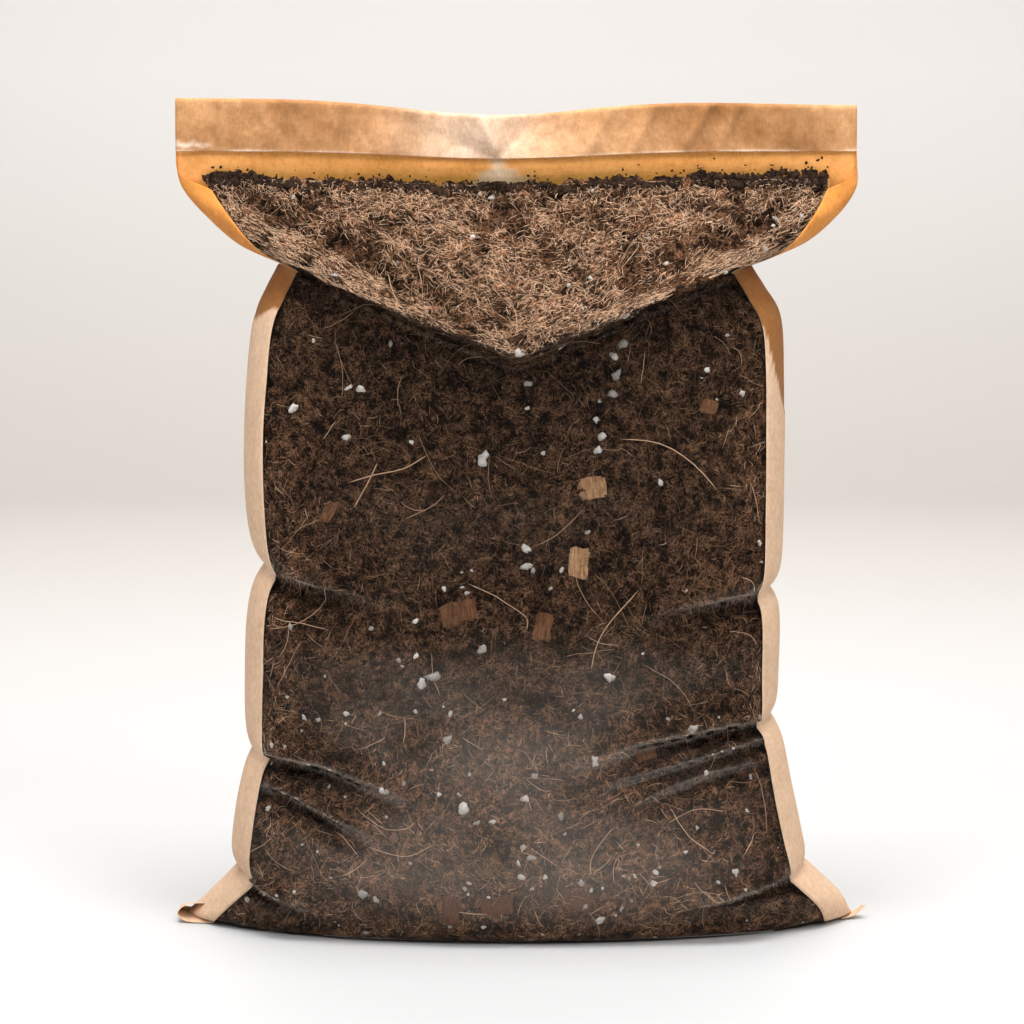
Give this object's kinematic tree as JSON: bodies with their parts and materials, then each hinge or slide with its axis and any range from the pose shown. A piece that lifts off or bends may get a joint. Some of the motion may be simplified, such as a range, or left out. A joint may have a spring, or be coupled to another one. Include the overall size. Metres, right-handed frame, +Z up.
{
  "type": "bag of potting compost",
  "caption": "Filled pillow bag of potting compost standing upright, with a clear front window, a kraft paper back and a folded paper strip closing its mouth.",
  "frame": {"origin": "middle of the bag's box, on the plane that the bag stands on", "axes": "+Z up through the mouth, -Y out of the clear front, +X to the right of someone facing the clear front"},
  "size_m": [0.3344, 0.1524, 0.396],
  "materials": {
    "compost": "loose dark brown coir and peat with pale grains, fully rough",
    "film": "clear glossy packaging film",
    "kraft": "uncoated natural kraft paper",
    "kraft_strip": "uncoated natural kraft paper, doubled over"
  },
  "bodies": {
    "root": {"compost_fill": "compost", "front_film": "film", "kraft_sheet": "kraft", "closing_strip": "kraft_strip"}
  },
  "joints": []
}
